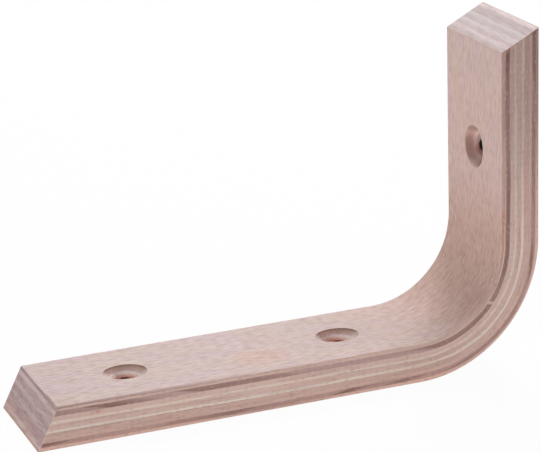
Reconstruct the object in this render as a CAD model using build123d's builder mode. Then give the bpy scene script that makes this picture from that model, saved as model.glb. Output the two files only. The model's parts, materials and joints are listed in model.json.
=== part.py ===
from build123d import *

import os
from math import radians, tan

# Bent plywood shelf bracket, in millimetres.
# The long leg lies along X with its outer face down and its free tip at -X.
# The short leg stands up at the +X end, Y runs across the width, and +Z is up.
# The origin is the middle of the bounding box's bottom, on the outer face of the long leg.

# Laminate: veneers glued and pressed round a former into one solid strip
width = 30.0
thickness = 10.0
bend_radius = 22.0  # inner face

# Legs, each from the outer face of the other leg to its free tip
long_leg = 129.0
short_leg = 85.0
end_bevel = 27.5  # degrees off square; the outer face runs on past the inner one

# Long edges, lightly sanded
edge_rounding = 0.4

# Screw holes on the centre line, countersunk from the inner faces
screw_hole = 6.0
countersink = 11.0
countersink_angle = 90.0
tip_to_screw = 26.4  # free tip of the long leg to its outer screw
bend_to_screw = 16.0  # end of the bend to the long leg's other screw
bend_to_short_screw = 21.0  # end of the bend to the short leg's screw

# Places that follow from the sizes above
tip_x = -long_leg / 2
corner_x = long_leg / 2
bend_end = bend_radius + thickness  # outer radius, which is how far the bend reaches up each leg
end_setback = thickness * tan(radians(end_bevel))
inner_x = corner_x - thickness  # inner face of the short leg
long_leg_screws = [tip_x + tip_to_screw, corner_x - bend_end - bend_to_screw]
short_leg_screw = bend_end + bend_to_short_screw

with BuildPart() as bracket:
    # Side view: two parallel outlines joined by the bevelled ends
    with BuildSketch(Plane.XZ):
        with BuildLine():
            outer = FilletPolyline(
                (tip_x, 0),
                (corner_x, 0),
                (corner_x, short_leg),
                radius=bend_end,
            )
            inner = FilletPolyline(
                (tip_x + end_setback, thickness),
                (inner_x, thickness),
                (inner_x, short_leg - end_setback),
                radius=bend_radius,
            )
            Line(outer @ 0, inner @ 0)
            Line(outer @ 1, inner @ 1)
        make_face()
    extrude(amount=width / 2, both=True)

    # Long edges of both side faces; the edges round the bevelled ends stay crisp
    long_edges = bracket.faces().filter_by(Axis.Y).edges()
    long_edges -= bracket.faces().sort_by(Axis.X)[0].edges()
    long_edges -= bracket.faces().sort_by(Axis.Z)[-1].edges()
    fillet(long_edges, radius=edge_rounding)

    # Countersunk screw holes, straight through each leg
    long_seats = [Plane((x, 0, thickness), z_dir=(0, 0, 1)) for x in long_leg_screws]
    short_seat = Plane((inner_x, 0, short_leg_screw), z_dir=(-1, 0, 0))
    with Locations(*long_seats, short_seat):
        CounterSinkHole(
            radius=screw_hole / 2,
            counter_sink_radius=countersink / 2,
            depth=thickness,
            counter_sink_angle=countersink_angle,
        )

bracket.part.label = "bracket"

os.makedirs("parts", exist_ok=True)
export_step(bracket.part, "parts/bracket.step")
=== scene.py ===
import json
from math import atan2, cos, hypot, pi, radians, sin

import bmesh
import bpy
from mathutils import Matrix, Quaternion, Vector


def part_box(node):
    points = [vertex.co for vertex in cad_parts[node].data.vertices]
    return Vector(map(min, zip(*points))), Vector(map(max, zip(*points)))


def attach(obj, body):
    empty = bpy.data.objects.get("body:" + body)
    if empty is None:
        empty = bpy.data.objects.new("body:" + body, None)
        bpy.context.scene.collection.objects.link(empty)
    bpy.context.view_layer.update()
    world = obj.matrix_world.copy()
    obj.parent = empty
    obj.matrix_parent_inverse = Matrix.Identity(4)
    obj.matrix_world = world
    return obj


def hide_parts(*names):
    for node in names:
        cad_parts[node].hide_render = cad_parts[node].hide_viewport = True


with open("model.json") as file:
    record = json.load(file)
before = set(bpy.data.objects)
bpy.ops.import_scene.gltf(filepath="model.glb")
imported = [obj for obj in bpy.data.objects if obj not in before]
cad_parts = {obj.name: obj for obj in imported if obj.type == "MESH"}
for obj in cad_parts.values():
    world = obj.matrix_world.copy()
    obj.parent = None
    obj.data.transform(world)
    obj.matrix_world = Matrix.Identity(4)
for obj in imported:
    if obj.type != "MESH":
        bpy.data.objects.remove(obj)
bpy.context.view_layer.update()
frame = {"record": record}  # the bracket as it was built, the fixed frame for everything here
mm = 0.001

# The bent strip: what is set here repeats the laminate's own sizes, the rest comes from the frame
laminate = {
    "thickness": 10 * mm,
    "bendRadius": 22 * mm,  # inner face
    "endBevel": radians(27.5),  # off square
    "longEdgeRound": 0.4 * mm,
    "endEdgeRound": 0.15 * mm,
    "gridStep": 1 * mm,
    "bendSteps": 60,
    "sharpFrom": radians(35),  # edges that turn more than this stay crisp
}
low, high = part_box("bracket")
width = high.y - low.y
thick = laminate["thickness"]
innerRadius = laminate["bendRadius"]
outerRadius = innerRadius + thick
bendX, bendZ = high.x - outerRadius, low.z + outerRadius  # centre of the bend
bendLength = (innerRadius + thick / 2) * pi / 2
legLength = bendX - low.x  # straight part of the long leg
stripLength = legLength + bendLength + high.z - bendZ

# Countersunk screw holes, lathed round the axes that the mounts give. Their mouths came out a little
# narrower across the strip than along it, and two of them off centre.
screwHoles = {
    "long_leg_tip_screw": {"rim": 5.3 * mm, "squeeze": 0.855, "shift": (0.15 * mm, 0)},
    "long_leg_bend_screw": {"rim": 5.4 * mm, "squeeze": 0.82, "shift": (0.28 * mm, -0.2 * mm)},
    "short_leg_screw": {"rim": 5.3 * mm, "squeeze": 0.91, "shift": (0, 0)},
}
holeCut = {
    "ease": 0.08 * mm,  # small bevel at both mouths
    "patch": 7 * mm,  # half the side of the square that each hole is let into
}
mounts = {mount["name"]: mount for mount in frame["record"]["mounts"]}
onFace, onSide, onEnd, onDrilled = range(4)  # material slots of the mesh


def stripCoords(point):
    # along the strip from the long leg's tip, across it, and down from the inner face
    x, z = max(point.x - bendX, 0), max(bendZ - point.z, 0)
    straight = legLength + min(point.x - bendX, 0)
    along = straight + bendLength * atan2(x, z) / (pi / 2) + max(point.z - bendZ, 0)
    return Vector((along, point.y, hypot(x, z) - innerRadius))


def endPlanes():
    # the two bevelled ends: a point on each and the way it faces
    tilt = laminate["endBevel"]
    longEnd = Vector((low.x, 0, low.z)), Vector((-cos(tilt), 0, sin(tilt)))
    shortEnd = Vector((high.x, 0, high.z)), Vector((-sin(tilt), 0, cos(tilt)))
    return longEnd, shortEnd


def sectionRing(bm):
    # the strip's outline at the long leg's tip, standing across X
    across, deep = round(width / laminate["gridStep"]), round(thick / laminate["gridStep"])
    bmesh.ops.create_grid(bm, x_segments=deep, y_segments=across, size=0.5)
    inside = [v for v in bm.verts if not v.is_boundary]
    bmesh.ops.delete(bm, geom=bm.faces[:], context="FACES_ONLY")
    bmesh.ops.delete(bm, geom=inside, context="VERTS")
    bmesh.ops.scale(bm, vec=(thick, width, 1), verts=bm.verts)
    bmesh.ops.rotate(bm, matrix=Matrix.Rotation(-pi / 2, 3, "Y"), verts=bm.verts)
    bmesh.ops.translate(bm, vec=(low.x, 0, low.z + thick / 2), verts=bm.verts)
    return bm.verts[:] + bm.edges[:]


def runStraight(bm, ring, way, stops):
    # straight runs from stop to stop, in steps of about the grid
    for start, stop in zip(stops, stops[1:]):
        steps = round((stop - start) / laminate["gridStep"])
        stride = way * (stop - start) / steps
        run = bmesh.ops.spin(
            bm, geom=ring, cent=(0, 0, 0), axis=(0, 1, 0), dvec=stride, angle=0, steps=steps
        )
        ring = run["geom_last"]
    return ring


def stripBlank(bm):
    # the square-ended strip, with grid lines on both sides of each hole's patch
    reach = holeCut["patch"]
    tip, bend, short = (mounts[name]["pos_m"] for name in screwHoles)
    lyingStops = [low.x, tip[0] - reach, tip[0] + reach, bend[0] - reach, bend[0] + reach, bendX]
    standingStops = [bendZ, short[2] - reach, short[2] + reach, high.z]
    ring = runStraight(bm, sectionRing(bm), Vector((1, 0, 0)), lyingStops)
    bent = bmesh.ops.spin(
        bm, geom=ring, cent=(bendX, 0, bendZ), axis=(0, -1, 0), angle=pi / 2,
        steps=laminate["bendSteps"],
    )
    runStraight(bm, bent["geom_last"], Vector((0, 0, 1)), standingStops)
    bmesh.ops.recalc_face_normals(bm, faces=bm.faces)


def roundEdges(bm, edges, radius, segments):
    bmesh.ops.bevel(
        bm, geom=edges, offset=radius, segments=segments, profile=0.5, affect="EDGES", material=-1
    )


def bevelEnds(bm):
    # both ends cut off aslant and closed, and the slots of faces, sides and ends given out
    for point, way in endPlanes():
        everything = bm.verts[:] + bm.edges[:] + bm.faces[:]
        bmesh.ops.bisect_plane(bm, geom=everything, plane_co=point, plane_no=way, clear_outer=True)
    openEdges = [e for e in bm.edges if e.is_boundary]
    caps = set(bmesh.ops.holes_fill(bm, edges=openEdges, sides=0)["faces"])
    bm.normal_update()
    for face in bm.faces:
        face.material_index = onSide if abs(face.normal.y) > 0.7 else onFace
    for face in caps:
        face.material_index = onEnd
    endEdges = [e for e in bm.edges if caps.intersection(e.link_faces)]
    roundEdges(bm, endEdges, laminate["endEdgeRound"], 2)


def openPatch(bm, mouth, way):
    # a square of faces comes out of both flats
    def inPatch(face):
        off = face.calc_center_median() - mouth
        above = off.dot(way)
        facing = abs(face.normal.dot(way)) > 0.9 and -1.1 * thick < above < 0.1 * thick
        return facing and max(abs(c) for c in off - way * above) < holeCut["patch"]

    bm.normal_update()
    bmesh.ops.delete(bm, geom=[f for f in bm.faces if inPatch(f)], context="FACES")


def latheHole(bm, bore, hole):
    # countersink and bore about Z, with the mouth at 0; spun this way the walls face the axis
    rim, ease = hole["rim"], holeCut["ease"]
    old = set(bm.verts)
    profile = [
        (rim + ease, 0), (rim, -ease), (bore, bore - rim), (bore, ease - thick), (bore + ease, -thick),
    ]
    points = [bm.verts.new((r, 0, h)) for r, h in profile]
    line = [bm.edges.new(pair) for pair in zip(points, points[1:])]
    steps = round(8 * holeCut["patch"] / laminate["gridStep"])  # as many as the patch has edges
    bmesh.ops.spin(
        bm, geom=points + line, cent=(0, 0, 0), axis=(0, 0, -1), angle=2 * pi,
        steps=steps, use_merge=True,
    )
    lathed = [v for v in bm.verts if v not in old]
    for vert in lathed:
        for face in vert.link_faces:
            face.material_index = onDrilled
    mouthRing = [v for v in lathed if v.co.z > -2 * ease]
    bmesh.ops.scale(bm, vec=(1, hole["squeeze"], 1), verts=mouthRing)
    bmesh.ops.translate(bm, vec=(*hole["shift"], 0), verts=mouthRing)
    return lathed


def screwHole(bm, name):
    mount, hole = mounts[name], screwHoles[name]
    bore, length = mount["dims"]["r_mm"] * mm, mount["dims"]["length_mm"] * mm
    way = Vector(mount["axis"])
    mouth = Vector(mount["pos_m"]) + way * (thick - length / 2)
    turned = Vector((0, 0, 1)).rotation_difference(way).to_matrix().to_4x4()
    openPatch(bm, mouth, way)
    lathed = latheHole(bm, bore, hole)
    bmesh.ops.transform(bm, matrix=Matrix.Translation(mouth) @ turned, verts=lathed)
    openEdges = [e for e in bm.edges if e.is_boundary]
    near = holeCut["ease"] / 2
    for level in (0, -thick):
        loops = [e for e in openEdges if abs((e.verts[0].co - mouth).dot(way) - level) < near]
        bmesh.ops.bridge_loops(bm, edges=loops)


def bracketMesh():
    bm = bmesh.new()
    stripBlank(bm)
    sharp = laminate["sharpFrom"]
    longEdges = [e for e in bm.edges if len(e.link_faces) == 2 and e.calc_face_angle() > sharp]
    roundEdges(bm, longEdges, laminate["longEdgeRound"], 3)
    bevelEnds(bm)
    for vert in bm.verts:  # the roundings may stand out of the box by a hair
        vert.co = [min(max(c, least), most) for c, least, most in zip(vert.co, low, high)]
    for name in screwHoles:
        screwHole(bm, name)
    bmesh.ops.remove_doubles(bm, verts=bm.verts, dist=0.001 * mm)
    bmesh.ops.recalc_face_normals(bm, faces=bm.faces)
    return bm


def storeCoords(bm):
    # what the finishes read: the strip's own coordinates, and how far the nearest bevelled end is
    strip = bm.verts.layers.float_vector.new("strip")
    endGap = bm.verts.layers.float.new("endGap")
    planes = endPlanes()
    for vert in bm.verts:
        vert[strip] = stripCoords(vert.co)
        vert[endGap] = min((point - vert.co).dot(way) for point, way in planes)


def addObject(name, data):
    thing = bpy.data.objects.new(name, data)
    bpy.context.scene.collection.objects.link(thing)
    return thing


def makeBracket():
    bm = bracketMesh()
    storeCoords(bm)
    for face in bm.faces:
        face.smooth = True
    for edge in bm.edges:
        edge.smooth = len(edge.link_faces) == 2 and edge.calc_face_angle() < laminate["sharpFrom"]
    looseEdges = sum(not e.is_manifold for e in bm.edges)
    print("laminate mesh:", len(bm.faces), "faces,", looseEdges, "edges not closed")
    mesh = bpy.data.meshes.new("bracket_laminate")
    bm.to_mesh(mesh)
    bm.free()
    piece = addObject("bracket_laminate", mesh)
    crisp = piece.modifiers.new("crispFlats", "WEIGHTED_NORMAL")
    crisp.keep_sharp = True  # and flats stay flat beside the small roundings
    return piece


# Small helpers for the finishes
def tone(red, green, blue):
    # a colour as read on screen, 0 to 255, made linear
    linear = [((c / 255 + 0.055) / 1.055) ** 2.4 if c > 10 else c / 3294.6 for c in (red, green, blue)]
    return (*linear, 1)


def grey(level):
    return level, level, level, 1


def feed(tree, value, socket):
    # another node's output or a plain value
    if isinstance(value, bpy.types.NodeSocket):
        tree.links.new(value, socket)
    else:
        socket.default_value = value


def put(tree, kind, inputs, **settings):
    node = tree.nodes.new("ShaderNode" + kind)
    for key, value in settings.items():
        setattr(node, key, value)
    for key, value in inputs.items():
        feed(tree, value, node.inputs[key])
    return node


def sums(tree, operation, first, second=0.0, third=0.0, clamp=False):
    node = put(tree, "Math", {0: first, 1: second, 2: third}, operation=operation, use_clamp=clamp)
    return node.outputs[0]


def times(tree, first, second):
    return sums(tree, "MULTIPLY", first, second)


def vectors(tree, operation, first, second, third=(0, 0, 0)):
    return put(tree, "VectorMath", {0: first, 1: second, 2: third}, operation=operation).outputs[0]


def blendValue(tree, factor, first, second):
    # a Mix node's sockets 2 and 3 are its two numbers
    return put(tree, "Mix", {0: factor, 2: first, 3: second}, data_type="FLOAT").outputs[0]


def blend(tree, factor, first, second, kind="MIX"):
    # sockets 6 and 7 are its two colours, and output 2 gives the mixed one
    node = put(tree, "Mix", {0: factor, 6: first, 7: second}, data_type="RGBA", blend_type=kind)
    return node.outputs[2]


def layer(tree, colour, tint, mask, strength):
    # a tint over the colour where the mask says
    return blend(tree, times(tree, mask, strength), colour, tint)


def ramp(tree, factor, stops, curve="LINEAR"):
    # each stop is a place with a level, or a place with a colour as read on screen
    node = put(tree, "ValToRGB", {0: factor})
    node.color_ramp.interpolation = curve
    points = node.color_ramp.elements
    points.remove(points[1])
    points[0].position = stops[0][0]
    for place, *_ in stops[1:]:
        points.new(place)
    for point, (_, *look) in zip(points, stops):
        point.color = tone(*look) if len(look) == 3 else grey(*look)
    return node.outputs["Color"]


def stripRamp(tree, share, stops, curve="LINEAR"):
    # the places are mm from the long leg's tip
    return ramp(tree, share, [(at * mm / stripLength, level) for at, level in stops], curve)


def spread(tree, value, fromLow, fromHigh, toLow=0.0, toHigh=1.0, soft=True):
    ends = {"From Min": fromLow, "From Max": fromHigh, "To Min": toLow, "To Max": toHigh}
    kind = "SMOOTHSTEP" if soft else "LINEAR"
    return put(tree, "MapRange", {0: value, **ends}, interpolation_type=kind).outputs[0]


def noise(tree, place, detail, scale=1.0, roughness=0.5):
    inputs = {"Vector": place, "Scale": scale, "Detail": detail, "Roughness": roughness}
    return put(tree, "TexNoise", inputs).outputs


def spotMask(tree, strip, spot):
    # a soft oval on the strip, given by its middle and its half lengths, and full in its inner fifth
    off = vectors(tree, "SUBTRACT", strip, spot["centre"])
    scaled = vectors(tree, "DIVIDE", off, spot["reach"])
    away = put(tree, "VectorMath", {0: scaled}, operation="LENGTH").outputs["Value"]
    return spread(tree, away, 1.0, 0.2)


def layOut(tree):
    # every node stands a column left of those that it feeds
    columnWidth, rowHeight = 200, 250
    columns = {node.name: 0 for node in tree.nodes}
    moved = True
    while moved:
        moved = False
        for link in tree.links:
            column = columns[link.to_node.name] + 1
            if columns[link.from_node.name] < column:
                columns[link.from_node.name] = column
                moved = True
    filled = {}
    for name, column in columns.items():
        row = filled.get(column, 0)
        tree.nodes[name].location = -columnWidth * column, -rowHeight * row
        filled[column] = row + 1


def newGroup(name, settings, gives):
    # every group takes the strip's coordinates and a few numbers, and gives numbers
    group = bpy.data.node_groups.new(name, "ShaderNodeTree")
    group.interface.new_socket("Strip", in_out="INPUT", socket_type="NodeSocketVector")
    for label, start in settings.items():
        socket = group.interface.new_socket(label, in_out="INPUT", socket_type="NodeSocketFloat")
        socket.default_value = start
    for label in gives:
        group.interface.new_socket(label, in_out="OUTPUT", socket_type="NodeSocketFloat")
    return group, group.nodes.new("NodeGroupInput").outputs, group.nodes.new("NodeGroupOutput").inputs


def useGroup(tree, name, strip, settings):
    inputs = {"Strip": strip, **settings}
    return put(tree, "Group", inputs, node_tree=bpy.data.node_groups[name]).outputs


# Beech's short spindle flecks, dark and pale, the pale ones partly painted highlight on their relief, and
# the fine fibres between them
flecks = {
    "stray": (0, 1.8, 1.8),  # off their rows, in flecks
    "strayScale": 0.5,
    "spot": (0.52, 0.2),  # where a fleck starts and where it is full, off its middle
    "paleShift": (7.3, 7.3, 7.3),  # the pale ones, partly painted highlight, are the same pattern, moved
    "fibreCells": (0.8, 1.2, 1.2),  # for each fleck
    "fibre": (0.25, 0.75),  # noise levels where a fibre starts and is full
}


def fleckGroup():
    group, given, out = newGroup(
        "beechFlecks", {"Length": 2 * mm, "Height": 0.4 * mm, "Share": 0.5}, ("Fleck", "Gleam", "Fibre")
    )
    sizes = {0: given["Length"], 1: given["Height"], 2: given["Height"]}
    cells = vectors(group, "DIVIDE", given["Strip"], put(group, "CombineXYZ", sizes).outputs[0])
    cloud = noise(group, cells, detail=1.0, scale=flecks["strayScale"])["Color"]
    strayed = vectors(group, "MULTIPLY_ADD", cloud, flecks["stray"], cells)
    for label, shift in (("Fleck", (0, 0, 0)), ("Gleam", flecks["paleShift"])):
        moved = vectors(group, "ADD", strayed, shift)
        spot = put(group, "TexVoronoi", {"Vector": moved, "Scale": 1.0}).outputs
        chance = put(group, "SeparateColor", {0: spot["Color"]}).outputs[0]
        chosen = sums(group, "LESS_THAN", chance, given["Share"])
        feed(group, times(group, spread(group, spot["Distance"], *flecks["spot"]), chosen), out[label])
    drawn = vectors(group, "MULTIPLY", strayed, flecks["fibreCells"])
    fibre = noise(group, drawn, detail=4.0, roughness=0.6)[0]
    feed(group, spread(group, fibre, *flecks["fibre"], soft=False), out["Fibre"])
    layOut(group)


# Slow clouds in which the wood turns lilac or warm, beige or pink, and streaky
clouds = {  # cells per metre along the strip, across it and down
    "Patch": {"cells": (50, 240, 600), "detail": 2.0, "seed": 0.0},
    "Blotch": {"cells": (70, 420, 800), "detail": 1.0, "seed": 3.0},
    "Streak": {"cells": (60, 700, 1500), "detail": 3.0, "seed": 6.0},
}
cloudEdges = (0.3, 0.7)  # noise levels where a cloud starts and is full


def cloudGroup():
    group, given, out = newGroup("veneerTone", {"Seed": 0.0}, clouds)
    for label, cloud in clouds.items():
        drawn = vectors(group, "MULTIPLY", given["Strip"], cloud["cells"])
        seed = sums(group, "ADD", given["Seed"], cloud["seed"])
        inputs = {"Vector": drawn, "W": seed, "Scale": 1.0, "Detail": cloud["detail"]}
        mist = put(group, "TexNoise", inputs, noise_dimensions="4D").outputs[0]
        feed(group, spread(group, mist, *cloudEdges), out[label])
    layOut(group)


# Where the veneers lie: pressed round the bend, they wander off their even places
plyDrift = {
    "upper": [  # mm from the tip and how far down, 0 to 1, for the veneers near the inner face
        (0, 0.02), (8, 0.14), (18, 0.32), (36, 0.46), (50, 0.54), (62, 0.54), (88, 0.75), (97, 0.6),
        (101, 0.56), (106, 0.66), (115, 0.8), (124, 0.86), (129, 0.72), (133, 0.57), (138, 0.57),
        (147, 0.77), (155, 0.8), (165, 0.65), (192, 0.63),
    ],
    "lower": [  # and for those below
        (0, 0.15), (18, 0.31), (36, 0.4), (50, 0.6), (62, 0.55), (75, 0.44), (88, 0.31), (97, 0.1),
        (101, 0.0), (106, 0.2), (115, 0.55), (124, 0.66), (129, 0.46), (133, 0.23), (138, 0.23),
        (147, 0.34), (155, 0.33), (170, 0.4), (180, 0.5),
    ],
    "between": (0.3 * thick, 0.6 * thick),  # the depths over which one passes into the other
    "span": 0.075,  # of the thickness, from 0 to 1; at 0.5 a veneer is in its place
    "waves": (60, 60, 120),  # the small wander, in cells per metre
}


def plyGroup():
    # how deep a point lies in the stack, 0 to 1, and where on the strip
    gives = ("Depth", "Along", "Across", "Share Along")
    group, given, out = newGroup("plyDepth", {"Wander": 0.02}, gives)
    along, across, depth = put(group, "SeparateXYZ", {0: given["Strip"]}).outputs[:3]
    share = sums(group, "DIVIDE", along, stripLength)
    levels = [stripRamp(group, share, plyDrift[name], "CARDINAL") for name in ("upper", "lower")]
    drift = blendValue(group, spread(group, depth, *plyDrift["between"]), *levels)
    swell = sums(group, "MULTIPLY_ADD", drift, plyDrift["span"], -plyDrift["span"] / 2)
    slow = noise(group, vectors(group, "MULTIPLY", given["Strip"], plyDrift["waves"]), detail=2.0)[0]
    swing = times(group, sums(group, "SUBTRACT", slow, 0.5), given["Wander"])
    shift = sums(group, "SUBTRACT", swing, swell)
    feed(group, sums(group, "MULTIPLY_ADD", depth, 1 / thick, shift), out["Depth"])
    feed(group, along, out["Along"])
    feed(group, across, out["Across"])
    feed(group, share, out["Share Along"])
    layOut(group)


# Wear along the arrises, partly painted highlight, which fades over Reach from both faces that meet there
arrisUnevenness = {
    "cells": 320.0,  # of the noise that makes it uneven, per metre
    "uneven": (0.3, 0.7, 0.3, 1.5),  # from these noise levels to these shares of the reach
}


def arrisWearAndHighlightGroup():
    group, given, out = newGroup("arrisWear", {"End Gap": 1.0, "Reach": 0.4 * mm}, ("Mask",))
    parts = put(group, "SeparateXYZ", {0: given["Strip"]}).outputs
    side = sums(group, "SUBTRACT", width / 2, sums(group, "ABSOLUTE", parts[1]))
    face = sums(group, "MINIMUM", parts[2], sums(group, "SUBTRACT", thick, parts[2]))
    nearer, further = (sums(group, kind, side, face) for kind in ("MINIMUM", "MAXIMUM"))
    # an arris is where two of the three surfaces are near
    gap = sums(group, "MAXIMUM", nearer, sums(group, "MINIMUM", further, given["End Gap"]))
    rough = noise(group, given["Strip"], detail=3.0, scale=arrisUnevenness["cells"])[0]
    reach = times(group, given["Reach"], spread(group, rough, *arrisUnevenness["uneven"]))
    mask = sums(group, "SUBTRACT", 1.0, sums(group, "DIVIDE", gap, reach), clamp=True)
    feed(group, mask, out["Mask"])
    layOut(group)


for makeGroup in (fleckGroup, cloudGroup, plyGroup, arrisWearAndHighlightGroup):
    makeGroup()
print("shader groups made")


def startFinish(name):
    finish = bpy.data.materials.new(name)
    finish.use_nodes = True
    strip = put(finish.node_tree, "Attribute", {}, attribute_name="strip").outputs["Vector"]
    return finish, finish.node_tree, strip


def endFinish(finish, colour, look, height):
    tree = finish.node_tree
    bump = put(tree, "Bump", {"Height": height, "Strength": 1.0, "Distance": look["relief"]}).outputs[0]
    inputs = {
        "Base Color": colour, "Roughness": look["roughness"], "Specular IOR Level": 0.3, "Normal": bump,
    }
    for label, value in inputs.items():
        feed(tree, value, tree.nodes["Principled BSDF"].inputs[label])
    layOut(tree)
    return finish


def endDistance(tree):
    return put(tree, "Attribute", {}, attribute_name="endGap").outputs["Fac"]


def onShortLeg(tree, ply):
    # for the ends and the holes, which all lie well off the strip's middle
    return sums(tree, "GREATER_THAN", ply["Share Along"], 0.5)


# The two flats and the bend: beech face veneer, darker and warmer round the bend, partly as painted shade
# and bounce light where the short leg shades it and partly as browning where it was pressed
faceLook = {
    "lilac": tone(230, 207, 209),
    "warm": tone(232, 209, 197),
    "beige": tone(227, 211, 200),
    "pink": tone(236, 204, 197),
    "secondTone": 0.26,  # how much of beige and pink comes in
    "seed": 3.0,
    "along": [  # shade by share of the strip's length, here and in what follows; in the bend partly painted shade and partly pressed wood
        (0.00, 241, 242, 244), (0.10, 245, 247, 250), (0.40, 245, 247, 249), (0.50, 248, 247, 247),
        (0.55, 251, 246, 244), (0.62, 237, 224, 219), (0.72, 239, 225, 219), (0.80, 253, 245, 243),
        (1.00, 254, 249, 248),
    ],
    "warmth": [(0.0, 0), (0.50, 0), (0.58, 0.7), (0.74, 0.7), (0.84, 0.1), (1.0, 0)],  # at the least; warmer round the bend, partly painted bounce light
    "grain": [  # how strong flecks and fibres show
        (0.0, 1.15), (0.46, 1.1), (0.54, 1.15), (0.62, 1.45), (0.70, 1.35), (0.78, 1.0), (0.83, 0.85),
        (1.0, 0.8),
    ],
    "blush": {"centre": (59 * mm, -6 * mm, 0), "reach": (11 * mm, 8 * mm, 9 * mm)},
    "blushTint": tone(233, 200, 186),
    "blushStrength": 0.8,
    "flecks": {"Length": 3.2 * mm, "Height": 0.43 * mm, "Share": 0.6},
    "fleckTint": tone(158, 114, 98),
    "fleckStrength": 0.3,
    "fibre": (0.45, 0.9, 0.0, 0.42),  # from the fibres' levels to how strong they show
    "gleamTint": tone(252, 234, 226),
    "gleamStrength": 0.22,
    # the brown of the painted shade by the near arris and of the tip's chips
    "worn": tone(150, 116, 106),
    "edgeBand": (1.8 * mm, 0.5 * mm),  # painted shade as a brown line off the near arris: where it starts and is full
    "edgeLine": [(0.0, 1), (0.07, 0.9), (0.13, 0.65), (0.25, 0.35), (0.33, 0), (1.0, 0)],
    "chipGap": (0.55 * mm, 0.1 * mm),  # chips at the tip's arris: off the end, and across the strip
    "chipAcross": (-2 * mm, -9 * mm),
    "chipUneven": (0.2, 0.5, 0.3, 0.8),
    "fibreRelief": -0.5,  # beside the flecks' -1
    "roughness": 0.72,
    "relief": 0.05 * mm,
}


def edgeShadeAndChips(tree, look, ply, fleck):
    # the brown line of painted shade by the near arris, and the chips at the tip's
    nearEdge = [place - width / 2 for place in look["edgeBand"]]
    line = spread(tree, ply["Across"], *nearEdge)
    line = times(tree, line, ramp(tree, ply["Share Along"], look["edgeLine"]))
    chips = spread(tree, endDistance(tree), *look["chipGap"])
    chips = times(tree, chips, spread(tree, ply["Across"], *look["chipAcross"]))
    chips = times(tree, chips, spread(tree, fleck["Fibre"], *look["chipUneven"]))
    chips = times(tree, chips, sums(tree, "SUBTRACT", 1.0, onShortLeg(tree, ply)))
    return sums(tree, "MAXIMUM", line, chips)


def faceVeneer():
    look = faceLook
    finish, tree, strip = startFinish("beechFace")
    slow = useGroup(tree, "veneerTone", strip, {"Seed": look["seed"]})
    fleck = useGroup(tree, "beechFlecks", strip, look["flecks"])
    ply = useGroup(tree, "plyDepth", strip, {})
    share = ply["Share Along"]
    warmth = sums(tree, "MAXIMUM", slow["Patch"], ramp(tree, share, look["warmth"]))
    colour = blend(tree, warmth, look["lilac"], look["warm"])
    second = blend(tree, slow["Blotch"], look["beige"], look["pink"])
    colour = blend(tree, look["secondTone"], colour, second)
    blush = spotMask(tree, strip, look["blush"])
    colour = layer(tree, colour, look["blushTint"], blush, look["blushStrength"])
    # painted shade in the bend where the short leg shades it, with the browning of pressing
    colour = blend(tree, 1.0, colour, ramp(tree, share, look["along"]), "MULTIPLY")
    fibre = spread(tree, fleck["Fibre"], *look["fibre"], soft=False)
    marks = sums(tree, "MAXIMUM", times(tree, fleck["Fleck"], look["fleckStrength"]), fibre)
    colour = layer(tree, colour, look["fleckTint"], marks, ramp(tree, share, look["grain"]))
    # pale flecks, partly painted highlight on the fibres' relief
    colour = layer(tree, colour, look["gleamTint"], fleck["Gleam"], look["gleamStrength"])
    # painted shade along the near arris, and chips at the tip's
    colour = blend(tree, edgeShadeAndChips(tree, look, ply, fleck), colour, look["worn"])
    height = sums(tree, "SUBTRACT", times(tree, fleck["Fibre"], look["fibreRelief"]), fleck["Fleck"])
    return endFinish(finish, colour, look, height)


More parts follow.
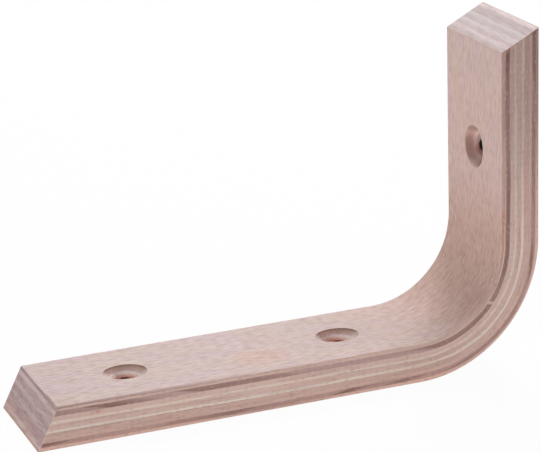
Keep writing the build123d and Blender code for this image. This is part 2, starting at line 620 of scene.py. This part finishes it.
# The long sides: nine veneers seen edge on, of which the second and eighth run crosswise and show dark
sideLook = {
    "stack": [  # colour by depth
        (0.000, 219, 186, 175), (0.077, 222, 190, 178), (0.093, 196, 165, 159), (0.205, 194, 163, 158),
        (0.218, 220, 189, 180), (0.325, 220, 191, 180), (0.343, 234, 215, 203), (0.384, 235, 216, 204),
        (0.401, 220, 190, 179), (0.532, 220, 190, 179), (0.548, 237, 221, 210), (0.599, 237, 221, 210),
        (0.614, 215, 182, 170), (0.740, 218, 184, 173), (0.765, 227, 194, 183), (0.813, 218, 184, 173),
        (0.827, 199, 164, 157), (0.915, 201, 165, 157), (0.932, 229, 191, 178), (0.965, 238, 202, 189),
        (1.000, 232, 194, 182),
    ],
    "dusk": [  # painted shade by share of the strip's length, darker up the short leg where the light falls off
        (0.00, 243, 243, 243), (0.10, 244, 244, 244), (0.22, 250, 250, 250), (0.46, 251, 251, 251),
        (0.52, 255, 255, 255), (0.56, 254, 254, 254), (0.62, 246, 246, 246), (0.72, 244, 244, 244),
        (0.78, 235, 234, 235), (0.90, 213, 211, 213), (1.00, 206, 204, 206),
    ],
    "dark": tone(147, 112, 102),
    "rose": tone(214, 160, 142),
    "orange": tone(206, 148, 124),
    "peach": tone(255, 206, 188),
    "line": tone(150, 118, 108),
    "soot": tone(104, 70, 62),
    "pale": tone(236, 212, 200),
    # pale of the flecks and the arrises, partly painted highlight
    "worn": tone(232, 210, 200),
    "roseBelow": (0.2, 0.24, 0.0, 0.16),  # from these depths to how strong it shows
    "broken": (0.3, 0.6, 0.2, 0.8),  # from the fibres' levels to how whole a line stays
    # mm from the tip, depth, and half length in mm
    "specks": [(15, 0.23, 1.6), (16.5, 0.66, 2.0), (30, 0.62, 1.5), (79, 0.33, 1.2), (74, 0.5, 1.2)],
    "speckStrength": 0.5,
    "speckHeight": 0.55 * mm,
    "streak": (0.4, 1.0, 0.0, 0.24),  # from the cloud's levels to how strong it shows
    "flecks": {"Length": 1.6 * mm, "Height": 0.3 * mm, "Share": 0.5},
    "fleckStrength": 0.3,
    "gleamStrength": 0.18,
    "wear": 0.3 * mm,
    "wearBelow": (0.4, 0.6, 0.0, 0.4),  # from these depths to how strong it shows
    "scorch": [(0.0, 0.8), (0.05, 0.5), (0.16, 0.6), (0.22, 0.1), (0.72, 0.1), (0.8, 0.5), (1.0, 0.5)],
    "scorchGap": (0.9 * mm, 0.3 * mm),  # off the end
    "scorchAlong": (0.8, 0.9),  # only at the short leg's end, by share of the strip's length
    "scorchStrength": 0.75,
    "seed": 11.0,
    "wander": 0.03,
    "roughness": 0.78,
    "relief": 0.05 * mm,
}

# Stretches of a veneer that differ from the rest of it, and two stretches of painted shade on the near
# side, laid on in this order. The band gives the depths where one starts, is full, begins to fade and
# ends. The stops say how strong it is, by mm from the tip. With a slant, that holds at the depth beside
# it, and over the whole thickness it moves along by the slant.
sideStretches = {
    "secondPly": {
        "tint": "dark", "band": (0.078, 0.092, 0.204, 0.218), "slant": (58 * mm, 0.145),
        "stops": [
            (0, 0.5), (9, 0.45), (13.5, 0.3), (15, 1.1), (21, 0.85), (26, 0.4), (28.5, 0.1), (36, 0.05),
            (38, 0.85), (45, 0.7), (57, 0.65), (62, 0.4), (65, 0.1), (94, 0.05), (98, 0.3),
            (100.5, 0.8), (110, 0.65), (118, 0.55), (124, 0),
        ],
    },
    "secondPlyBack": {
        "tint": "dark", "band": (0.080, 0.094, 0.200, 0.215), "slant": (-110 * mm, 0.145),
        "stops": [(112, 0), (118, 0.6), (130, 0.65), (134, 0.1), (138, 0)],
    },
    "secondPlyLine": {
        "tint": "dark", "band": (0.094, 0.118, 0.188, 0.212),
        "stops": [(126, 0), (132, 0.95), (150, 0.9), (158, 0.65), (161.5, 0.25)],
    },
    "secondPlyShort": {
        "tint": "dark", "band": (0.102, 0.135, 0.194, 0.211), "slant": (58 * mm, 0.145),
        "stops": [(157, 0), (160, 0.35), (176, 0.4), (181, 0.5), (184, 1.0), (192, 0.9)],
    },
    "eighthPly": {
        "tint": "dark", "band": (0.819, 0.835, 0.905, 0.922), "slant": (-62 * mm, 0.865),
        "stops": [
            (0, 1), (4, 0.8), (7.5, 0.3), (12, 0), (30, 0), (33, 0.35), (40, 0.4), (50, 0.7),
            (54.5, 0.1), (75.5, 0), (76.5, 1.1), (78, 0.95), (81, 0.6), (83, 0), (89, 0), (91, 0.8),
            (96, 0.5), (98.5, 0), (105, 0.05), (107, 0.5), (113, 0.4), (117, 0.4), (124, 0.4), (128, 0.1),
        ],
    },
    "eighthPlyShort": {
        "tint": "dark", "band": (0.814, 0.830, 0.905, 0.922), "slant": (-62 * mm, 0.865),
        "stops": [
            (131, 0), (133.5, 1), (137, 0.8), (139.5, 0.2), (148, 0.15), (149.5, 0.6), (152, 0.2),
            (157, 0.5), (164, 0.3), (166.5, 0.3), (168, 0.9), (170, 0.2), (178, 0.2), (181, 0.7),
            (192, 0.7),
        ],
    },
    "underLine": {
        "tint": "line", "band": (0.600, 0.606, 0.612, 0.622), "only": "broken",
        "stops": [(0, 0.5), (28, 0.5), (32, 1), (50, 1), (54, 0)],
    },
    # painted shade along the near inner arris, strongest by the tip
    "topEdge": {
        "tint": "line", "band": (-0.08, -0.06, 0.018, 0.05), "only": "broken",
        "stops": [(0, 1), (22, 0.9), (36, 0.6), (50, 0.3), (62, 0.1), (96, 0)],
    },
    "facePly": {  # round the bend the face veneer shows as brown on its edge as on its face
        "tint": "line", "band": (-0.06, -0.05, 0.052, 0.066), "only": "near",
        "stops": [(100, 0), (110, 0.15), (120, 0.2), (130, 0.3), (145, 0.28), (160, 0.08), (192, 0)],
    },
    "facePlyShort": {
        "tint": "rose", "band": (0.0, 0.02, 0.076, 0.088), "only": "near",
        "stops": [(148, 0), (158, 0.25), (192, 0.3)],
    },
    "glueLine": {
        "tint": "pale", "band": (0.054, 0.066, 0.076, 0.088), "only": "near",
        "stops": [(98, 0), (106, 0.25), (136, 0.3), (142, 0)],
    },
    "buttJoint": {  # the second veneer is pieced together here
        "tint": "pale", "band": (0.050, 0.075, 0.225, 0.250), "slant": (5 * mm, 0.15), "only": "near",
        "stops": [(121.3, 0), (121.55, 0.8), (121.75, 0.8), (122.0, 0)],
    },
    "sliver": {
        "tint": "orange", "band": (-0.020, -0.010, 0.044, 0.060), "only": "near",
        "stops": [(132, 0), (135, 0.5), (139, 0.9), (147, 1), (148.5, 0)],
    },
    "secondPlyTop": {
        "tint": "soot", "band": (0.094, 0.108, 0.200, 0.216), "only": "near",
        "stops": [(181, 0), (185, 0.15), (192, 0.2)],
    },
    # painted shade: the dusk deepened on the ninth veneer up the short leg
    "ninthPlyShort": {
        "tint": "line", "band": (0.912, 0.935, 1.2, 1.3), "only": "near",
        "stops": [(148, 0), (160, 0.2), (175, 0.45), (192, 0.45)],
    },
    "ninthPlyLong": {
        "tint": "peach", "band": (0.928, 0.950, 1.2, 1.3), "only": "near",
        "stops": [(0, 0.45), (60, 0.4), (104, 0.6), (112, 0.0)],
    },
}


def stretchMask(tree, ply, veneer):
    starts, full, fades, ends = veneer["band"]
    begun = spread(tree, ply["Depth"], starts, full)
    inside = times(tree, begun, spread(tree, ply["Depth"], ends, fades))
    along = ply["Along"]
    if "slant" in veneer:
        slant, middle = veneer["slant"]
        deeper = sums(tree, "SUBTRACT", ply["Depth"], middle)
        along = sums(tree, "MULTIPLY_ADD", deeper, -slant, along)
    share = sums(tree, "DIVIDE", along, stripLength)
    return times(tree, inside, stripRamp(tree, share, veneer["stops"]))


def scorchedEnd(tree, look, ply, colour):
    # the saw burnt the short leg's corners, orange at the inner face and sooty at the outer one
    scorch = ramp(tree, ply["Depth"], look["scorch"])
    scorch = times(tree, scorch, spread(tree, endDistance(tree), *look["scorchGap"]))
    scorch = times(tree, scorch, spread(tree, ply["Share Along"], *look["scorchAlong"]))
    tint = blend(tree, sums(tree, "GREATER_THAN", ply["Depth"], 0.5), look["orange"], look["soot"])
    return layer(tree, colour, tint, scorch, look["scorchStrength"])


def sideCut():
    look = sideLook
    finish, tree, strip = startFinish("beechSide")
    ply = useGroup(tree, "plyDepth", strip, {"Wander": look["wander"]})
    slow = useGroup(tree, "veneerTone", strip, {"Seed": look["seed"]})
    fleck = useGroup(tree, "beechFlecks", strip, look["flecks"])
    colour = ramp(tree, ply["Depth"], look["stack"])
    rose = spread(tree, ply["Depth"], *look["roseBelow"])
    colour = layer(tree, colour, look["rose"], slow["Blotch"], rose)
    limits = {
        "broken": spread(tree, fleck["Fibre"], *look["broken"]),
        "near": sums(tree, "LESS_THAN", ply["Across"], 0.0),
    }
    for veneer in sideStretches.values():
        shown = stretchMask(tree, ply, veneer)
        if "only" in veneer:
            shown = times(tree, shown, limits[veneer["only"]])
        colour = blend(tree, shown, colour, look[veneer["tint"]])
    for at, deep, reach in look["specks"]:
        centre, halves = (at * mm, -width / 2, deep * thick), (reach * mm, mm, look["speckHeight"])
        speck = spotMask(tree, strip, {"centre": centre, "reach": halves})
        colour = layer(tree, colour, look["orange"], speck, look["speckStrength"])
    # painted shade along the strip
    colour = blend(tree, 1.0, colour, ramp(tree, ply["Share Along"], look["dusk"]), "MULTIPLY")
    colour = blend(tree, spread(tree, slow["Streak"], *look["streak"]), colour, look["line"])
    colour = layer(tree, colour, look["line"], fleck["Fleck"], look["fleckStrength"])
    # pale flecks, partly painted highlight on the fibres' relief
    colour = layer(tree, colour, look["worn"], fleck["Gleam"], look["gleamStrength"])
    # pale rubbed arrises, partly painted highlight
    gaps = {"End Gap": endDistance(tree), "Reach": look["wear"]}
    wear = useGroup(tree, "arrisWear", strip, gaps)["Mask"]
    colour = layer(tree, colour, look["worn"], wear, spread(tree, ply["Depth"], *look["wearBelow"]))
    colour = scorchedEnd(tree, look, ply, colour)
    return endFinish(finish, colour, look, fleck["Fibre"])


# The bevelled ends: the same stack cut across, redder at the long leg's tip and paler at the top
endLook = {
    "tipStack": [  # colour by depth, lighter in the first stops as painted light at the rounded inner arris
        (0.000, 232, 208, 203), (0.020, 228, 203, 199), (0.036, 214, 187, 183), (0.052, 190, 162, 159),
        (0.068, 175, 147, 145), (0.088, 193, 167, 166), (0.110, 214, 191, 191), (0.140, 224, 201, 200),
        (0.180, 219, 193, 191), (0.220, 203, 174, 171), (0.300, 202, 174, 171), (0.340, 211, 191, 189),
        (0.390, 211, 191, 190), (0.450, 196, 167, 165), (0.510, 196, 167, 164), (0.550, 207, 187, 186),
        (0.610, 206, 187, 186), (0.650, 198, 169, 167), (0.830, 198, 168, 166), (0.880, 216, 188, 185),
        (0.940, 228, 200, 195), (0.975, 214, 182, 175), (1.000, 200, 152, 138),
    ],
    "topStack": [
        (0.000, 216, 194, 189), (0.030, 214, 194, 190), (0.100, 216, 200, 200), (0.150, 231, 214, 213),
        (0.210, 231, 213, 212), (0.255, 216, 197, 197), (0.300, 215, 198, 197), (0.360, 225, 212, 211),
        (0.420, 227, 216, 216), (0.470, 215, 199, 199), (0.520, 213, 197, 197), (0.580, 220, 207, 209),
        (0.630, 225, 214, 215), (0.680, 212, 195, 196), (0.840, 211, 194, 194), (0.890, 232, 215, 215),
        (0.945, 246, 229, 228), (0.972, 238, 219, 216), (0.988, 206, 184, 180), (1.000, 132, 108, 102),
    ],
    "lean": radians(-2),  # of the rows of pores
    "poreCells": (300, 190, 1700),  # per metre
    "pore": tone(162, 124, 118),
    "poreEdges": (0.45, 0.72),  # noise levels where a pore starts and is full
    "poreStrengths": (0.62, 0.32),  # at the tip and at the top
    # pale between the pores, and along the arrises partly painted highlight
    "worn": tone(240, 218, 206),
    "paleEdges": (0.5, 0.25),
    "paleStrength": 0.25,
    "wear": {"End Gap": 0.0, "Reach": 0.5 * mm},
    "wearBelow": (0.1, 0.4, 0.0, 0.5),  # from these depths to how strong it shows
    "wander": 0.03,
    "roughness": 0.85,
    "relief": 0.08 * mm,
}


def endGrain():
    look = endLook
    finish, tree, strip = startFinish("beechEnd")
    ply = useGroup(tree, "plyDepth", strip, {"Wander": look["wander"]})
    atTop = onShortLeg(tree, ply)
    stacks = [ramp(tree, ply["Depth"], look[name]) for name in ("tipStack", "topStack")]
    colour = blend(tree, atTop, *stacks)
    turn = {"Vector": strip, "Angle": look["lean"]}
    leant = put(tree, "VectorRotate", turn, rotation_type="X_AXIS").outputs[0]
    cells = vectors(tree, "MULTIPLY", leant, look["poreCells"])
    pores = noise(tree, cells, detail=4.0, roughness=0.7)[0]
    strength = blendValue(tree, atTop, *look["poreStrengths"])
    colour = layer(tree, colour, look["pore"], spread(tree, pores, *look["poreEdges"]), strength)
    pale = spread(tree, pores, *look["paleEdges"])
    colour = layer(tree, colour, look["worn"], pale, look["paleStrength"])
    # pale rubbed arrises, partly painted highlight
    wear = useGroup(tree, "arrisWear", strip, look["wear"])["Mask"]
    colour = layer(tree, colour, look["worn"], wear, spread(tree, ply["Depth"], *look["wearBelow"]))
    return endFinish(finish, colour, look, pores)


# Drilled walls: a lit copy and a copy with painted shade on the side away from the light, browner at the
# rim, both pale and then reddish where the cutter met the next veneers
drilledLook = {
    "rings": [  # the copy with painted shade, by depth, for the side away from the light, browner at the rim
        (0.000, 140, 106, 93), (0.020, 163, 128, 114), (0.045, 189, 157, 146), (0.075, 206, 175, 164),
        (0.100, 210, 179, 172), (0.125, 233, 205, 201), (0.150, 255, 238, 234), (0.188, 255, 230, 224),
        (0.214, 255, 210, 199), (0.240, 255, 204, 190), (0.260, 252, 190, 174),
    ],
    # the lit copy, paler as painted light against the hole's own shade
    "cleanRings": [
        (0.000, 206, 180, 170), (0.060, 226, 202, 194), (0.130, 252, 236, 231), (0.200, 254, 234, 228),
        (0.240, 254, 228, 221), (0.260, 252, 216, 206),
    ],
    "shortRings": [  # the hole in the short leg is browner
        (0.000, 226, 182, 166), (0.030, 217, 173, 158), (0.070, 213, 167, 153), (0.110, 211, 169, 158),
        (0.140, 218, 182, 172), (0.180, 250, 208, 195), (0.225, 254, 212, 201), (0.260, 255, 218, 209),
    ],
    "shade": [  # painted light and shade round the short leg's hole, by share of the strip's length
        (0.804, 284, 318, 335), (0.810, 228, 240, 247), (0.8157, 188, 189, 193),
        (0.8214, 186, 183, 185), (0.8275, 181, 173, 172), (0.838, 196, 195, 196),
        (0.847, 240, 243, 244), (0.8545, 203, 214, 216), (0.859, 230, 252, 258), (0.864, 244, 259, 264),
    ],
    "turn": [  # painted shade round the long leg's holes, darker towards the bend's side, by place from the tip's side to the bend's
        (0.0, 255, 255, 255), (0.22, 255, 255, 255), (0.42, 231, 231, 231), (0.60, 230, 230, 229),
        (0.8, 244, 244, 243),
    ],
    "turnAside": (-5 * mm, 5 * mm),
    "turnAbove": (0.16, 0.10),  # only down to these depths
    # the middle of the painted-shade side and of the bore's painted shadow, along the strip off each
    # hole's own axis
    "offAxis": {
        "long_leg_tip_screw": 0.8 * mm, "long_leg_bend_screw": 1.9 * mm, "short_leg_screw": -1.0 * mm,
    },
    "burntSkew": 0.22,  # the far side's painted shade lies aslant
    "burntAcross": (0, 2 * mm),
    "burntAbove": (0.20, 0.15),  # it goes down to these depths
    "burntAside": (-4 * mm, -1.8 * mm),  # but all the way on the bend's side
    # painted shade on the near side's outer wall as well
    "burntNear": (-2.2 * mm, -3.6 * mm),
    "stain": {"centre": (158.5 * mm, 2.3 * mm, 2.4 * mm), "reach": (2.1 * mm, 1.9 * mm, 1.2 * mm)},
    "stainTint": tone(152, 98, 87),
    "stainStrength": 0.7,
    "flecks": {"Length": 0.5 * mm, "Height": 0.4 * mm, "Share": 0.6},
    "fleckTint": tone(128, 100, 88),
    "fleckStrength": 0.3,
    "wander": 0.024,
    "roughness": 0.8,
    "relief": 0.05 * mm,
}
paintedBoreShadow = {  # painted shadow down the bore, in pairs, for the long leg's holes and for the short leg's
    "tints": (tone(78, 46, 37), tone(10, 3, 1)),
    "starts": (0.252, 0.258),  # depth on the axis
    "full": (0.264, 0.296),
    "bow": (1.5e4, 2.2e4),  # how much deeper off the axis, per square metre
    "fades": (0.65, 0.45),  # wood again further down, in all of them
}


def offAxis(tree, along, onShort):
    # how far along the strip from the middle of the hole that a point is in
    offs = drilledLook["offAxis"].items()
    tip, bend, short = (stripCoords(Vector(mounts[name]["pos_m"])).x + off for name, off in offs)
    pastTip = sums(tree, "GREATER_THAN", along, (tip + bend) / 2)
    centre = blendValue(tree, onShort, blendValue(tree, pastTip, tip, bend), short)
    return sums(tree, "SUBTRACT", along, centre)


def shadedWallMask(tree, look, depth, across, aside):
    # painted shade on the far side, away from the light, and on the outer part of the near side
    leant = sums(tree, "MULTIPLY_ADD", aside, look["burntSkew"], across)
    rim = spread(tree, depth, *look["burntAbove"])
    reach = sums(tree, "MAXIMUM", rim, spread(tree, aside, *look["burntAside"]))
    farSide = times(tree, spread(tree, leant, *look["burntAcross"]), reach)
    return sums(tree, "MAXIMUM", farSide, spread(tree, across, *look["burntNear"]))


def boreShadowMask(tree, depth, aside, onShort):
    # where the bore is painted dark for its shadow
    pairs = (paintedBoreShadow[name] for name in ("bow", "starts", "full"))
    bow, starts, full = (blendValue(tree, onShort, *pair) for pair in pairs)
    bowed = times(tree, times(tree, aside, aside), -1.0)
    mask = spread(tree, sums(tree, "MULTIPLY_ADD", bowed, bow, depth), starts, full)
    return times(tree, mask, spread(tree, depth, *paintedBoreShadow["fades"]))


def drilledWall():
    look = drilledLook
    finish, tree, strip = startFinish("beechDrilled")
    ply = useGroup(tree, "plyDepth", strip, {})
    fleck = useGroup(tree, "beechFlecks", strip, look["flecks"])
    onShort = onShortLeg(tree, ply)
    aside = offAxis(tree, ply["Along"], onShort)
    depth = sums(tree, "DIVIDE", put(tree, "SeparateXYZ", {0: strip}).outputs[2], thick)
    swing = times(tree, sums(tree, "SUBTRACT", fleck["Fibre"], 0.5), look["wander"])
    depth = sums(tree, "ADD", depth, swing)
    kinds = ("rings", "cleanRings", "shortRings")
    rings, litRingColour, short = (ramp(tree, depth, look[kind]) for kind in kinds)
    # the copy with painted shade where the shade falls, the lit copy elsewhere
    colour = blend(tree, shadedWallMask(tree, look, depth, ply["Across"], aside), litRingColour, rings)
    # painted shade towards the bend's side of the long leg's holes
    turn = ramp(tree, spread(tree, aside, *look["turnAside"], soft=False), look["turn"])
    colour = blend(tree, spread(tree, depth, *look["turnAbove"]), colour, turn, "MULTIPLY")
    # painted light and shade over the short leg's hole
    short = blend(tree, 1.0, short, ramp(tree, ply["Share Along"], look["shade"]), "MULTIPLY")
    colour = blend(tree, onShort, colour, short)
    stain = spotMask(tree, strip, look["stain"])
    colour = layer(tree, colour, look["stainTint"], stain, look["stainStrength"])
    colour = layer(tree, colour, look["fleckTint"], fleck["Fleck"], look["fleckStrength"])
    # the bore painted dark for its shadow
    dark = blend(tree, onShort, *paintedBoreShadow["tints"])
    colour = blend(tree, boreShadowMask(tree, depth, aside, onShort), colour, dark)
    return endFinish(finish, colour, look, fleck["Fibre"])


bracket = makeBracket()
for finish in (faceVeneer(), sideCut(), endGrain(), drilledWall()):  # in the order of the mesh's slots
    bracket.data.materials.append(finish)
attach(bracket, "root")
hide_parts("bracket")
print("bracket modelled and finished")

# A pale studio: a wide floor, a soft key behind and above the bend, and a weak low fill in front
studio = {
    "floorSize": 6.0,
    "floorColour": (0.9, 0.9, 0.9, 1),
    "floorGlow": 0.96,  # share of plain white that the camera sees, so the shadow stays faint
    "white": (1, 1, 1, 1),
    "ambient": 0.2,
    "lamps": {
        "key": {"place": (0.4, 0.6, 0.9), "size": 0.5, "power": 8.1},
        "top": {"place": (0.5, 0.0, 0.9), "size": 0.5, "power": 1.8},
        "fill": {"place": (-0.9, -1.1, 0.25), "size": 0.6, "power": 9.9},
    },
    "aim": (0.0, 0.0, 0.03),
}


def whiteForCamera(tree, lit, share):
    # what the camera, mirrors and glass see is mixed with plain white
    rays = put(tree, "LightPath", {}).outputs
    mirrored = sums(tree, "MAXIMUM", rays["Is Glossy Ray"], rays["Is Transmission Ray"])
    seen = sums(tree, "MAXIMUM", rays["Is Camera Ray"], mirrored)
    white = put(tree, "Emission", {"Color": studio["white"], "Strength": 1.0}).outputs[0]
    return put(tree, "MixShader", {0: times(tree, seen, share), 1: lit, 2: white}).outputs[0]


def emptyTree(owner, outputKind):
    owner.use_nodes = True
    owner.node_tree.nodes.clear()
    output = owner.node_tree.nodes.new("ShaderNodeOutput" + outputKind)
    return owner.node_tree, output.inputs["Surface"]


def buildFloor():
    bm = bmesh.new()
    bmesh.ops.create_grid(bm, x_segments=1, y_segments=1, size=studio["floorSize"] / 2)
    mesh = bpy.data.meshes.new("floor")
    bm.to_mesh(mesh)
    bm.free()
    floor = addObject("floor", mesh)
    paint = bpy.data.materials.new("floorPaint")
    tree, surface = emptyTree(paint, "Material")
    lit = put(tree, "BsdfDiffuse", {"Color": studio["floorColour"]}).outputs[0]
    feed(tree, whiteForCamera(tree, lit, studio["floorGlow"]), surface)
    layOut(tree)
    floor.data.materials.append(paint)


def buildAir():
    world = bpy.data.worlds.new("studioAir")
    bpy.context.scene.world = world
    tree, surface = emptyTree(world, "World")
    air = put(tree, "Background", {"Color": studio["white"], "Strength": studio["ambient"]}).outputs[0]
    feed(tree, whiteForCamera(tree, air, 1.0), surface)
    layOut(tree)


def hangLamps():
    for name, lamp in studio["lamps"].items():
        light = bpy.data.lights.new(name, "AREA")
        light.shape, light.size, light.energy = "DISK", lamp["size"], lamp["power"]
        holder = addObject(name, light)
        holder.location = lamp["place"]
        gaze = Vector(studio["aim"]) - holder.location
        holder.rotation_euler = gaze.to_track_quat("-Z", "Y").to_euler()


# The camera stands where the photograph's did, low and in front of the long leg's tip
view = {
    "turn": radians(21.03),  # off the width's direction, towards the free tip
    "rise": radians(18.41),
    "roll": radians(-1.97),
    "away": 575.9 * mm,
    "aim": Vector((0.23 * mm, 0, 40.66 * mm)),
    "lens": 160.55,
    "sensor": 36,
}


def placeCamera():
    turn, rise = view["turn"], view["rise"]
    back = Vector((-sin(turn) * cos(rise), -cos(turn) * cos(rise), sin(rise)))
    camera = addObject("camera", bpy.data.cameras.new("camera"))
    camera.data.lens, camera.data.sensor_width = view["lens"], view["sensor"]
    camera.location = view["aim"] + back * view["away"]
    camera.rotation_mode = "QUATERNION"
    camera.rotation_quaternion = (-back).to_track_quat("-Z", "Y") @ Quaternion((0, 0, 1), view["roll"])
    bpy.context.scene.camera = camera


buildFloor()
buildAir()
hangLamps()
placeCamera()
bpy.context.scene.view_settings.view_transform = "Standard"
print("studio and camera set")

bpy.context.view_layer.update()
